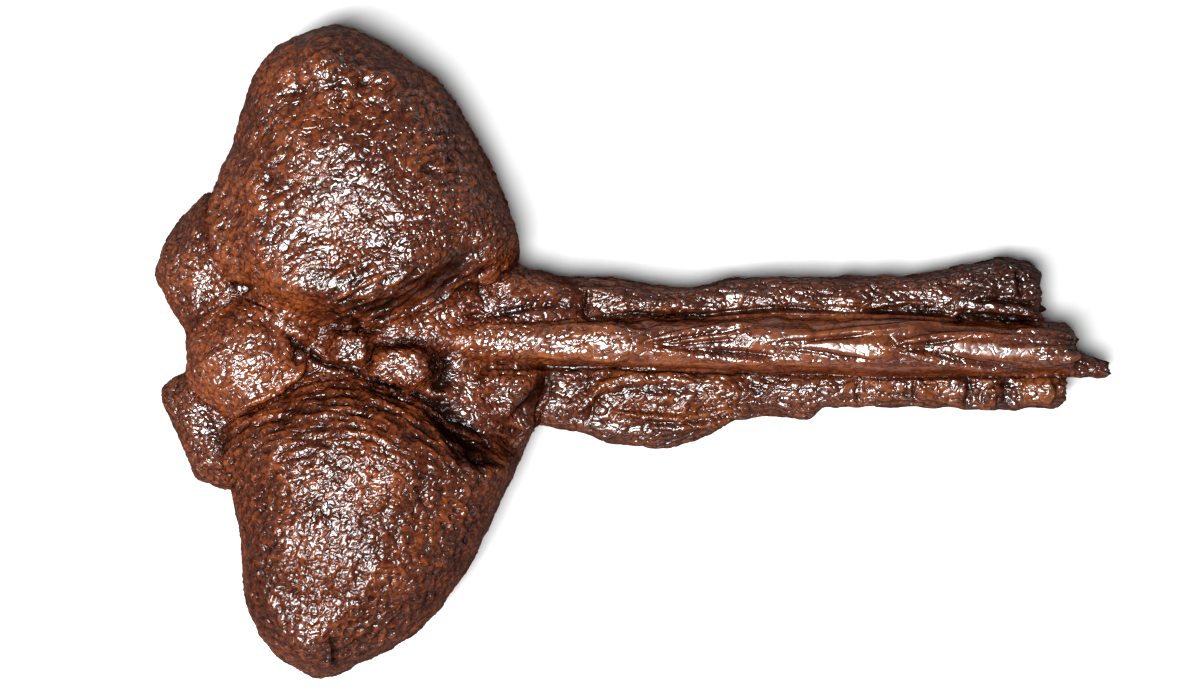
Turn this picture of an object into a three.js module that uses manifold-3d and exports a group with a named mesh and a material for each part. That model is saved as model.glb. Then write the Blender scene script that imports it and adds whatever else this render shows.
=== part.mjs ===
// The fossil tail club of an ankylosaurid dinosaur, at life size, in millimetres.
//
// Frame: +Z up, the club lies on its underside. +X runs from the tip of the tail along the stiff handle
// towards the body, +Y is the animal's left. The origin is on the floor, under the middle of the club.
//
// A broad knob of two large pointed osteoderms (armour bones) with two small ones at the tip of the tail
// and two on the midline wraps a core of fused vertebrae. The handle is a row of vertebrae whose arches
// lock into each other as arrowheads, between two bundles of bony tendon.
import * as THREE from "three";
import { mergeVertices } from "three/addons/utils/BufferGeometryUtils.js";
import Module from "manifold-3d";

const wasm = await Module();
wasm.setup();

// ---------- driving dimensions ----------

const KNOB_HEIGHT = 190; // over the two large osteoderms
const KNOB_MIDDLE = 84; // of the widest edge of the two
const CLEARANCE = 0.6; // how far a bone is cut back from its neighbour
const SUNK = 6; // how far an underside reaches past the floor before it is worn flat on it

// The handle: where it starts inside the knob, where it breaks off, and how its axis sinks on the way.
const HANDLE_START = -180;
const HANDLE_END = 375;
const AXIS_START_HEIGHT = 77;
const AXIS_END_HEIGHT = 54;
const AXIS_START_SIDE = 10;
const AXIS_END_SIDE = 3;

// The vertebrae of the handle. Each joint has the place of the arrowhead's point, and how far the arms
// of the arrowhead reach forward past it.
const JOINTS = [
  { at: HANDLE_START, reach: 0 },
  { at: -99, reach: 16 },
  { at: 6, reach: 85 },
  { at: 110, reach: 85 },
  { at: 215, reach: 85 },
  { at: HANDLE_END, reach: 0 },
];
const VERTEBRA = { top: 50, bottom: 58, waist: 0.07, keel: 5, corner: 0.75 };
const SPINE_WIDTH = [[-180, 28], [-80, 36], [0, 44], [110, 52], [230, 53], [330, 49], [375, 42]];

// ---------- the osteoderms and the masses of the knob ----------
// peak is the highest place in plan, middle the height of the widest edge, crown and sole the depth above
// and below it, and edge how blunt the rim is (1 is round, less is squarer). swells are [x, y, radius,
// height]: low rises and hollows of the upper face.

const MAJOR_LEFT = {
  name: "major_osteoderm_left",
  peak: [-236, 112],
  middle: KNOB_MIDDLE,
  crown: KNOB_HEIGHT - KNOB_MIDDLE - 4,
  sole: KNOB_MIDDLE + SUNK,
  edge: 0.62,
  outline: [
    [-357, 133], [-339, 181], [-320, 237], [-308, 254], [-290, 266], [-270, 274], [-249, 277],
    [-220, 266], [-197, 252], [-168, 231], [-149, 207], [-127, 168], [-106, 120], [-97, 91], [-107, 66],
    [-150, 44], [-200, 20], [-250, 14], [-318, 38], [-355, 84],
  ],
  swells: [
    [-264, 252, 30, 22], [-200, 232, 20, 10], [-280, 210, 26, -14], [-228, 208, 22, -9], [-158, 190, 40, -10],
    [-334, 122, 24, -18], [-310, 166, 22, -8], [-276, 52, 28, 12], [-226, 46, 30, 14], [-182, 64, 28, 12],
    [-146, 84, 24, -12],
  ],
};
const MAJOR_RIGHT = {
  name: "major_osteoderm_right",
  peak: [-242, -116],
  middle: KNOB_MIDDLE,
  crown: KNOB_HEIGHT - KNOB_MIDDLE - 6,
  sole: KNOB_MIDDLE + SUNK,
  edge: 0.66,
  outline: [
    [-341, -112], [-333, -164], [-328, -215], [-311, -249], [-285, -270], [-259, -277], [-232, -265],
    [-194, -245], [-166, -220], [-140, -181], [-116, -134], [-101, -97], [-111, -80], [-145, -62],
    [-176, -35], [-225, -16], [-275, -17], [-317, -42], [-342, -72],
  ],
  swells: [
    [-274, -250, 24, 20], [-240, -246, 16, -14], [-268, -206, 24, -8], [-152, -140, 40, -14], [-318, -112, 28, -12],
    [-200, -84, 30, 6],
  ],
};
const TERMINAL_LEFT = {
  name: "terminal_osteoderm_left",
  peak: [-352, 70],
  middle: 74,
  crown: 52,
  sole: 56,
  edge: 0.8,
  outline: [
    [-357, 134], [-372, 128], [-387, 113], [-398, 97], [-406, 80], [-408, 64], [-401, 49], [-391, 33],
    [-381, 15], [-362, -2], [-326, 12], [-306, 57], [-320, 104],
  ],
  swells: [],
};
const TERMINAL_RIGHT = {
  name: "terminal_osteoderm_right",
  peak: [-350, -62],
  middle: 72,
  crown: 42,
  sole: 52,
  edge: 0.62,
  outline: [
    [-379, -17], [-399, -27], [-403, -36], [-395, -59], [-383, -84], [-376, -103], [-367, -111],
    [-342, -117], [-326, -112], [-310, -90], [-308, -50], [-330, -20],
  ],
  swells: [],
};
const TAIL_TIP_BOSS = {
  name: "tail_tip_boss",
  peak: [-314, -8],
  middle: 96,
  crown: 60,
  sole: 60,
  edge: 0.8,
  outline: [
    [-373, 8], [-352, 34], [-312, 46], [-276, 30], [-264, 2], [-280, -30], [-318, -52], [-352, -44],
    [-374, -22],
  ],
  swells: [],
};
const MIDLINE_REAR = {
  name: "midline_osteoderm_rear",
  peak: [-236, 2],
  middle: 120,
  crown: 32,
  sole: 30,
  edge: 0.42,
  outline: [[-255, 17], [-236, 20], [-219, 13], [-218, -8], [-238, -14], [-256, -3]],
  swells: [],
};
const MIDLINE_FRONT = {
  name: "midline_osteoderm_front",
  peak: [-196, -12],
  middle: 118,
  crown: 36,
  sole: 30,
  edge: 0.42,
  outline: [[-221, 2], [-198, 7], [-174, 4], [-163, -12], [-174, -29], [-198, -34], [-221, -25]],
  swells: [],
};
const BUTTRESS_LEFT = {
  name: "handle_buttress_left",
  peak: [-135, 40],
  middle: 80,
  crown: 38,
  sole: 44,
  edge: 0.8,
  outline: [
    [-206, 22], [-180, 44], [-142, 63], [-110, 75], [-85, 69], [-62, 62], [-34, 46], [-36, 24], [-79, 10],
    [-139, 8], [-186, 10],
  ],
  swells: [],
};
const BUTTRESS_RIGHT = {
  name: "handle_buttress_right",
  peak: [-116, -34],
  middle: 74,
  crown: 42,
  sole: 42,
  edge: 0.75,
  outline: [
    [-156, -14], [-128, -4], [-96, -4], [-74, -12], [-68, -34], [-82, -52], [-101, -66], [-124, -70],
    [-146, -54], [-156, -34],
  ],
  swells: [],
};
const KNOB_CORE = {
  name: "knob_core",
  peak: [-258, 0],
  middle: 72,
  crown: 64,
  sole: 62,
  edge: 0.62,
  outline: [
    [-379, 22], [-381, -3], [-379, -26], [-345, -66], [-280, -85], [-200, -88], [-139, -90], [-103, -97],
    [-95, -76], [-99, -50], [-110, 0], [-108, 50], [-98, 74], [-110, 84], [-160, 88], [-230, 80],
    [-310, 76], [-350, 56],
  ],
  swells: [],
};

// ---------- surfaces ----------

const lerp = (from, to, share) => from + (to - from) * share;
const clamp01 = (value) => Math.min(1, Math.max(0, value));
const smooth = (value) => clamp01(value) ** 2 * (3 - 2 * clamp01(value));
const bell = (distance) => Math.exp(-distance * distance);

// The value at u of a table of [u, value], which passes smoothly from each entry to the next.
function along(table, u) {
  const last = table.length - 1;
  const k = Math.min(Math.max(table.filter(([at]) => at <= u).length, 1), last);
  const knot = (i) => table[Math.min(Math.max(i, 0), last)];
  const slope = (i) => (knot(i + 1)[1] - knot(i - 1)[1]) / (knot(i + 1)[0] - knot(i - 1)[0]);
  const [[from, low], [to, high]] = [knot(k - 1), knot(k)];
  const t = clamp01((u - from) / (to - from));
  const ease = (to - from) * t * (1 - t);
  return lerp(low, high, smooth(t)) + ease * ((1 - t) * slope(k - 1) - t * slope(k));
}

// The solid inside a three.js geometry, once every point of it is moved to where place(x, y, z) says.
function solidOf(geometry, place) {
  const points = geometry.getAttribute("position");
  for (let i = 0; i < points.count; i++)
    points.setXYZ(i, ...place(points.getX(i), points.getY(i), points.getZ(i)));
  geometry.deleteAttribute("normal");
  geometry.deleteAttribute("uv");
  const closed = mergeVertices(geometry, 1e-3);
  const vertProperties = closed.getAttribute("position").array;
  const triVerts = new Uint32Array(closed.index.array);
  return new wasm.Manifold(new wasm.Mesh({ numProp: 3, vertProperties, triVerts }));
}

// A bone that bulges from its outline to a peak above and below: a sphere whose equator is drawn out to the
// outline. Along a meridian the distance from the peak is the cosine of the latitude to the power of edge,
// and the height is its sine. What would reach below the floor is worn flat on it.
function pebble({ peak, middle, crown, sole, edge, outline, swells }, grown, bearings, rows) {
  const corners = outline.map(([x, y]) => new THREE.Vector3(x, y, 0));
  if (THREE.ShapeUtils.isClockWise(corners)) corners.reverse();
  const rim = new THREE.CatmullRomCurve3(corners, true, "catmullrom", 0.5);
  return solidOf(new THREE.SphereGeometry(1, bearings, rows), (east, up, south) => {
    const bearing = Math.atan2(-south, east) / (2 * Math.PI);
    const { x: rimX, y: rimY } = rim.getPointAt(((bearing % 1) + 1) % 1);
    const latitude = Math.asin(up);
    const out = Math.cos(latitude) ** edge * (1 + grown / Math.hypot(rimX - peak[0], rimY - peak[1]));
    const x = lerp(peak[0], rimX, out);
    const y = lerp(peak[1], rimY, out);
    const rises = up > 0 ? swells.map(([sx, sy, size, rise]) => rise * bell(Math.hypot(x - sx, y - sy) / size)) : [];
    const bulge = rises.reduce((sum, rise) => sum + rise, grown + (up > 0 ? crown : sole));
    return [x, y, Math.max(-grown, middle + bulge * up)];
  });
}

// A bone drawn out along X from one end to the other: a cylinder whose section(u) gives the middle, half
// width, top and bottom at u, and bend(u, y, z) how far forward a point of it is moved. What would reach
// below the lowest height is worn flat there.
function bar(section, from, to, { steps, around = 12, corner = 0.85, lowest = 0, bend = () => 0 }) {
  return solidOf(new THREE.CylinderGeometry(1, 1, 1, around, steps), (up, ahead, across) => {
    const u = lerp(from, to, ahead + 0.5);
    const { side, height, half, top, bottom } = section(u);
    const y = side + half * Math.sign(across) * Math.abs(across) ** corner;
    const lift = Math.sign(up) * Math.abs(up) ** corner;
    const z = Math.max(lowest, height + lift * (up > 0 ? top : bottom));
    return [u + bend(u, y, z), y, z];
  });
}

// ---------- the handle ----------

const alongHandle = (u) => (u - HANDLE_START) / (HANDLE_END - HANDLE_START);
const axisSide = (u) => lerp(AXIS_START_SIDE, AXIS_END_SIDE, alongHandle(u));
const axisHeight = (u) => lerp(AXIS_START_HEIGHT, AXIS_END_HEIGHT, alongHandle(u));

// How far u is through the vertebra it lies in, from 0 at one joint to 1 at the next, and the reach there.
function throughVertebra(u) {
  const passed = JOINTS.filter(({ at }) => at <= u).length;
  const k = Math.min(Math.max(passed, 1), JOINTS.length - 1);
  const [a, b] = [JOINTS[k - 1], JOINTS[k]];
  const share = clamp01((u - a.at) / (b.at - a.at));
  return { share, reach: lerp(a.reach, b.reach, share) };
}

function vertebraSection(u, grown = 0) {
  const waist = Math.sin(Math.PI * throughVertebra(u).share);
  return {
    side: axisSide(u),
    height: axisHeight(u),
    half: (along(SPINE_WIDTH, u) / 2) * (1 - VERTEBRA.waist * waist) + grown,
    top: VERTEBRA.top + grown,
    bottom: VERTEBRA.bottom + VERTEBRA.keel * waist + grown,
  };
}

// The arms of an arrowhead: a joint runs forward towards both sides of the arch, and straight across below.
function arrowhead(u, y, z) {
  const aside = (2 * Math.abs(y - axisSide(u))) / along(SPINE_WIDTH, u);
  const arch = smooth((z - axisHeight(u) + 35) / 35);
  return throughVertebra(u).reach * aside * arch;
}

// The arms of an arrowhead run nearly along the handle, so a vertebra is grown further that way.
function vertebra(k, grown = 0) {
  const shape = { steps: 4, around: 16, corner: VERTEBRA.corner, lowest: -grown, bend: arrowhead };
  return bar((u) => vertebraSection(u, grown), JOINTS[k].at - grown, JOINTS[k + 1].at + 4 * grown, shape);
}

// The bundles of tendon. Each reaches from under the edge of the spine to its own outer edge.
const LEFT_BUNDLE = { start: -85, end: 348, tuck: 12, top: 34, bottom: 36 };
const LEFT_EDGE = [
  [-85, 68], [-60, 64], [-15, 63], [15, 57], [40, 55], [62, 57], [85, 63], [140, 64], [227, 65],
  [262, 70], [300, 78], [320, 80], [348, 74],
];
const ROLL = { from: 225, to: 320, rise: 6 };
const RIGHT_BUNDLE = { start: -85, end: 370, tuck: -12, top: 28, bottom: 34 };
const RIGHT_EDGE = [
  [-85, -62], [-60, -66], [-14, -78], [24, -82], [57, -74], [92, -58], [118, -54], [148, -58],
  [164, -49], [191, -46], [310, -49], [370, -47],
];

function bundleSection({ tuck, top, bottom }, edge, u, rise = 0) {
  const inner = axisSide(u) + tuck;
  const outer = along(edge, u);
  const half = Math.abs(outer - inner) / 2;
  return { side: (outer + inner) / 2, height: axisHeight(u) - 6, half, top: top + rise, bottom: bottom + rise };
}

const leftBundleSection = (u) =>
  bundleSection(LEFT_BUNDLE, LEFT_EDGE, u, ROLL.rise * smooth((u - ROLL.from) / (ROLL.to - ROLL.from)));
const rightBundleSection = (u) => bundleSection(RIGHT_BUNDLE, RIGHT_EDGE, u);

// A splinter of bone that stands out of the broken end.
const PRONG = { start: HANDLE_END + CLEARANCE, end: 406, side: -9.5, drift: -7, height: 66, half: 10.5, tip: 7.5 };

function prongSection(u) {
  const share = (u - PRONG.start) / (PRONG.end - PRONG.start);
  return {
    side: PRONG.side + PRONG.drift * share,
    height: PRONG.height,
    half: lerp(PRONG.half, PRONG.tip, share),
    top: lerp(13, 9, share),
    bottom: 12,
  };
}

// ---------- solids ----------

// The largest piece of a solid: the crumbs that a cut leaves past its neighbour are dropped.
const mainPiece = (solid) => solid.decompose().reduce((a, b) => (a.volume() > b.volume() ? a : b));

const cutBack = (solid, neighbours) => mainPiece(neighbours.reduce((left, near) => left.subtract(near), solid));

const fine = { bearings: 40, rows: 12 };
const bone = (shape, grown = 0, { bearings = 20, rows = 7 } = {}) => pebble(shape, grown, bearings, rows);

function cutSolids() {
  const majors = [bone(MAJOR_LEFT, CLEARANCE, fine), bone(MAJOR_RIGHT, CLEARANCE, fine)];
  const terminals = [bone(TERMINAL_LEFT, CLEARANCE), bone(TERMINAL_RIGHT, CLEARANCE)];
  const boss = bone(TAIL_TIP_BOSS, CLEARANCE);
  const midline = [bone(MIDLINE_REAR, CLEARANCE), bone(MIDLINE_FRONT, CLEARANCE)];
  const buttresses = [bone(BUTTRESS_LEFT, CLEARANCE), bone(BUTTRESS_RIGHT, CLEARANCE)];
  const vertebrae = JOINTS.slice(1).map((_, k) => vertebra(k, CLEARANCE));
  const solids = {
    [MAJOR_LEFT.name]: bone(MAJOR_LEFT, 0, fine),
    [MAJOR_RIGHT.name]: cutBack(bone(MAJOR_RIGHT, 0, fine), [majors[0]]),
    [TAIL_TIP_BOSS.name]: cutBack(bone(TAIL_TIP_BOSS), majors),
    [TERMINAL_LEFT.name]: cutBack(bone(TERMINAL_LEFT), [...majors, boss]),
    [TERMINAL_RIGHT.name]: cutBack(bone(TERMINAL_RIGHT), [...majors, boss]),
    [MIDLINE_REAR.name]: cutBack(bone(MIDLINE_REAR), [...majors, boss]),
    [MIDLINE_FRONT.name]: cutBack(bone(MIDLINE_FRONT), [...majors, midline[0], ...vertebrae]),
    [BUTTRESS_LEFT.name]: cutBack(bone(BUTTRESS_LEFT), [...majors, ...vertebrae]),
    [BUTTRESS_RIGHT.name]: cutBack(bone(BUTTRESS_RIGHT), [...majors, ...vertebrae]),
    [KNOB_CORE.name]: cutBack(bone(KNOB_CORE, 0, { bearings: 24, rows: 7 }), [
      ...majors,
      ...terminals,
      boss,
      ...midline,
      ...buttresses,
      ...vertebrae,
    ]),
  };
  vertebrae.forEach((_, k) => {
    solids[`vertebra_${k + 1}`] = cutBack(vertebra(k), [...majors, ...vertebrae.slice(0, k)]);
  });
  const bundle = (section, { start, end }) =>
    cutBack(bar(section, start, end, { steps: 18 }), [...majors, ...buttresses, ...vertebrae]);
  solids.tendon_bundle_left = bundle(leftBundleSection, LEFT_BUNDLE);
  solids.tendon_bundle_right = bundle(rightBundleSection, RIGHT_BUNDLE);
  solids.broken_prong = bar(prongSection, PRONG.start, PRONG.end, { steps: 3, around: 10 });
  return solids;
}

// ---------- materials and the finished group ----------

const varnished = (color, roughness) => new THREE.MeshStandardMaterial({ color, roughness, metalness: 0 });
const MATERIALS = {
  armour: varnished(0x6e3a22, 0.35),
  core: varnished(0x5a2f1d, 0.4),
  vertebra: varnished(0x7d4526, 0.28),
  tendon: varnished(0x62341f, 0.38),
};

function materialOf(name) {
  if (name.includes("osteoderm")) return MATERIALS.armour;
  if (name.startsWith("vertebra")) return MATERIALS.vertebra;
  if (name.startsWith("tendon") || name === "broken_prong") return MATERIALS.tendon;
  return MATERIALS.core;
}

function toMesh(name, solid) {
  const { vertProperties, triVerts } = solid.getMesh();
  const geometry = new THREE.BufferGeometry();
  geometry.setAttribute("position", new THREE.BufferAttribute(vertProperties, 3));
  geometry.setIndex(new THREE.BufferAttribute(triVerts, 1));
  geometry.computeVertexNormals();
  const mesh = new THREE.Mesh(geometry, materialOf(name));
  mesh.name = name;
  return mesh;
}

const club = new THREE.Group();
club.name = "tail_club";
for (const [name, solid] of Object.entries(cutSolids())) club.add(toMesh(name, solid));

export default club;
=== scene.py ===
"""The fossil tail club of an armoured dinosaur, lying on its underside: the bones' real surfaces and varnish.

Every bone gets one closed surface. Lengths are in millimetres, in the frame's own axes: +X along the handle
from the tip of the tail, +Y to the animal's left, +Z up.
"""

import math

import bpy
import numpy as np
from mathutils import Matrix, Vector


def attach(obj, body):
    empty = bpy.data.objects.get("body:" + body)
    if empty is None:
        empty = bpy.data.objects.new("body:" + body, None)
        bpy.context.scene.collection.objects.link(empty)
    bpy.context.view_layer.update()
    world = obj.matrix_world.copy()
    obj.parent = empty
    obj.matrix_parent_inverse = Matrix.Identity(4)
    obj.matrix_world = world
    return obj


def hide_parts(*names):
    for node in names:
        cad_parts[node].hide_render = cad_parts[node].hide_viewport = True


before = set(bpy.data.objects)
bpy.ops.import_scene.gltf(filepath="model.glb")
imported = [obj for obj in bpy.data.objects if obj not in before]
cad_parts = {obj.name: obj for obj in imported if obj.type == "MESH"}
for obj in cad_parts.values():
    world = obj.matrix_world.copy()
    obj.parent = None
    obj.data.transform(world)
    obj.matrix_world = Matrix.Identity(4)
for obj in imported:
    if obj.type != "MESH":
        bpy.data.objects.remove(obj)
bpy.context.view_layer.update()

MM = 0.001

# ---- small formulas ----


def lerp(start, end, share):
    """From start to end: start plus a share of their difference."""
    return start + (end - start) * share


def ease(t):
    """0 to 1 with level ends: three t squared less two t cubed."""
    t = np.clip(t, 0.0, 1.0)
    return t * t * (3 - 2 * t)


def rising(value, start, soft):
    """0 up to start, and then eased to 1 over soft."""
    return ease((value - start) / soft)


def between(value, low, high, soft):
    """1 from low to high, and 0 beyond a soft edge on each side."""
    return ease((value - low) / soft + 1) * ease((high - value) / soft + 1)


def bell(t):
    """1 at the middle, falling off as e to the minus t squared."""
    return np.exp(-np.square(t))


def spot(x, y, middle_x, middle_y, size):
    """A bell of the distance in plan from a place, as a share of size."""
    return bell(np.hypot(x - middle_x, y - middle_y) / size)


def power(value, exponent):
    """The value's size to a power, with its sign kept."""
    return np.sign(value) * np.abs(value) ** exponent


def along(table, u):
    """The value at u of a table of (u, value): a cubic through its entries, with their neighbours' slopes."""
    at, value = np.array(table, float).T
    slope = np.gradient(value, at)
    slope[1:-1] = (value[2:] - value[:-2]) / (at[2:] - at[:-2])
    k = np.clip(np.searchsorted(at, u, side="right"), 1, len(at) - 1)
    span = at[k] - at[k - 1]
    t = np.clip((u - at[k - 1]) / span, 0, 1)
    bulge = span * t * (1 - t) * ((1 - t) * slope[k - 1] - t * slope[k])
    return lerp(value[k - 1], value[k], ease(t)) + bulge


# ---- the handle's plan ----

HANDLE_START, HANDLE_END = -180, 375
BUNDLE_START, LEFT_BUNDLE_END, RIGHT_BUNDLE_END = -85, 348, 370
PRONG_START, PRONG_END = 368, 406
SPINE_WIDTH = [(-180, 28), (-80, 36), (0, 44), (110, 52), (230, 53), (330, 49), (375, 42)]
SPINE_TOP, SPINE_BOTTOM, KEEL = 50, 58, 5
# where each joint lies at the spine's middle, and how far its arrowhead's arms run forward
JOINTS = [(-180, 0), (-99, 16), (6, 85), (110, 85), (215, 85), (375, 0)]
LEFT_EDGE = [(-85, 68), (-60, 64), (-15, 63), (15, 57), (40, 55), (62, 57), (85, 63), (140, 64), (227, 65),
             (262, 70), (300, 78), (320, 80), (348, 74)]
RIGHT_EDGE = [(-85, -62), (-60, -66), (-14, -78), (24, -82), (57, -74), (92, -58), (118, -54), (148, -58),
              (164, -49), (191, -46), (310, -49), (370, -47)]


def through_handle(u):
    """The share of the handle's length that lies before u."""
    return (u - HANDLE_START) / (HANDLE_END - HANDLE_START)


def axis_side(u):
    """Y of the spine's axis, which drifts from 10 to 3 mm."""
    return lerp(10, 3, through_handle(u))


def axis_height(u):
    """Z of the spine's axis, which sinks from 77 to 54 mm."""
    return lerp(77, 54, through_handle(u))


def through_vertebra(u):
    """How far u is from one joint of the handle to the next, and the arrowhead's reach there."""
    at, reach = np.array(JOINTS, float).T
    k = np.clip(np.searchsorted(at, u, side="right"), 1, len(at) - 1)
    share = np.clip((u - at[k - 1]) / (at[k] - at[k - 1]), 0, 1)
    return share, lerp(reach[k - 1], reach[k], share)


def spine_section(u):
    """Middle, height, half width, top and bottom of the vertebrae: waist and keel are half sine waves."""
    waist = np.sin(np.pi * through_vertebra(u)[0])
    half = along(SPINE_WIDTH, u) / 2 * (1 - 0.07 * waist)
    return axis_side(u), axis_height(u), half, SPINE_TOP + 0 * u, SPINE_BOTTOM + KEEL * waist


def bundle_section(u, edge, tuck, top, bottom):
    """A bundle of tendon reaches from under the spine's edge, tuck from its axis, to its own outer edge."""
    inner, outer = axis_side(u) + tuck, along(edge, u)
    return (inner + outer) / 2, axis_height(u) - 6, np.abs(outer - inner) / 2, top + 0 * u, bottom + 0 * u


def left_bundle_section(u):
    """The left bundle, 6 mm thicker above and below near its end."""
    roll = 6 * rising(u, 225, 95)
    return bundle_section(u, LEFT_EDGE, 12, 34 + roll, 36 + roll)


def right_bundle_section(u):
    """The right bundle, flatter than the left one."""
    return bundle_section(u, RIGHT_EDGE, -12, 28, 34)


def prong_section(u):
    """The splinter: it veers 7 mm to the right and thins by a third past the handle's end."""
    share = (u - HANDLE_END) / (PRONG_END - HANDLE_END)
    return -9.5 - 7 * share, 66 + 0 * u, lerp(10.5, 7.0, share), lerp(13, 8, share), 12 + 0 * u


# ---- base forms: each can be traced as a surface, and measured from any point ----

CURVE_POINTS = 40  # of an outline, from one corner to the next
SWELL_ROOM = 15  # left above a crown for its swells
END_DEPTH = 30  # this far past a Bar's end counts like its half width past its side


class Bulge:
    """A bone that bulges from its outline to a peak above and below.

    The outline is a closed Catmull-Rom curve. Along a meridian, the distance from the peak is the cosine of
    the latitude to the power of edge, and the height is its sine. Swells are low rises of the upper face.
    """

    def __init__(self, peak, middle, crown, sole, edge, outline, swells=()):
        self.peak, self.middle, self.crown, self.sole = np.array(peak, float), middle, crown, sole
        self.edge, self.swells = edge, swells
        corners = np.array(outline, float)
        turn = np.roll(corners, -1, axis=0)
        if np.sum(corners[:, 0] * turn[:, 1] - corners[:, 1] * turn[:, 0]) < 0:
            corners = corners[::-1]
        a, b, c, d = (np.roll(corners, k, axis=0)[:, None, :] for k in (1, 0, -1, -2))
        t = (np.arange(CURVE_POINTS) / CURVE_POINTS)[None, :, None]
        bend, twist = 2 * a - 5 * b + 4 * c - d, 3 * b - a - 3 * c + d
        self.rim = (0.5 * (2 * b + (c - a) * t + bend * t**2 + twist * t**3)).reshape(-1, 2)
        steps = np.linalg.norm(np.roll(self.rim, -1, axis=0) - self.rim, axis=1)
        self.length = np.sum(steps)
        self.share = np.concatenate([[0], np.cumsum(steps)[:-1]]) / self.length
        out = self.rim - self.peak
        bearing, radius = np.arctan2(out[:, 1], out[:, 0]), np.hypot(*out.T)
        order = np.argsort(bearing)
        self.bearing, self.radius = bearing[order], radius[order]

    def crown_at(self, x, y):
        """Height of the upper peak, plus the swells' rises, each times a bell round its place."""
        return self.crown + sum(rise * spot(x, y, *swell) for *swell, rise in self.swells)

    def trace(self, share, latitude):
        """Points at a share of the way round the rim and at a latitude."""
        rim = np.stack([np.interp(share, self.share, self.rim[:, k], period=1) for k in (0, 1)], axis=-1)
        out = np.cos(latitude)[..., None].clip(0) ** self.edge
        x, y = np.moveaxis(lerp(self.peak, rim, out), -1, 0)
        up = np.sin(latitude)
        z = self.middle + up * np.where(up > 0, self.crown_at(x, y), self.sole)
        return np.stack([x, y, np.maximum(z, 0)], axis=-1)

    def field(self, p):
        """Under 0 inside and over 0 outside, as a share of the bone's size."""
        dx, dy = p[:, 0] - self.peak[0], p[:, 1] - self.peak[1]
        reach = np.interp(np.arctan2(dy, dx), self.bearing, self.radius, period=2 * np.pi)
        up = p[:, 2] - self.middle
        h = up / np.where(up > 0, self.crown_at(p[:, 0], p[:, 1]), self.sole)
        return np.sqrt((np.hypot(dx, dy) / reach) ** (2 / self.edge) + h * h) - 1

    def box(self):
        """The least and the greatest corner, from the floor to above the highest swell."""
        highest = self.middle + self.crown + SWELL_ROOM
        return np.array([*self.rim.min(axis=0), 0]), np.array([*self.rim.max(axis=0), highest])


class Bar:
    """A bone drawn out along X. section(u) gives the middle, height, half width, top and bottom there.

    corner is 1 for an ellipse, and less for a section with fuller corners.
    """

    def __init__(self, section, start, end, corner):
        self.section, self.start, self.end, self.corner = section, start, end, corner

    def trace(self, u, angle):
        """Points of the section at u: the cosine and the sine of the angle, to the power of corner."""
        side, height, half, top, bottom = self.section(u)
        across, up = power(np.cos(angle), self.corner), power(np.sin(angle), self.corner)
        y = side + half * across
        z = height + up * np.where(up > 0, top, bottom)
        return y, np.maximum(z, 0)

    def field(self, p):
        """Under 0 inside and over 0 outside, as a share of the section's size or of END_DEPTH past an end."""
        side, height, half, top, bottom = self.section(np.clip(p[:, 0], self.start, self.end))
        up = p[:, 2] - height
        across, lift = np.abs(p[:, 1] - side) / half, np.abs(up) / np.where(up > 0, top, bottom)
        round_it = (across ** (2 / self.corner) + lift ** (2 / self.corner)) ** (self.corner / 2) - 1
        ends = np.maximum(self.start - p[:, 0], p[:, 0] - self.end) / END_DEPTH
        return np.maximum(round_it, ends)

    def box(self):
        """The least and the greatest corner of 60 sections along it."""
        u = np.linspace(self.start, self.end, 60)
        side, height, half, top, _ = self.section(u)
        return (np.array([self.start, np.min(side - half), 0]),
                np.array([self.end, np.max(side + half), np.max(height + top)]))


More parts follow.
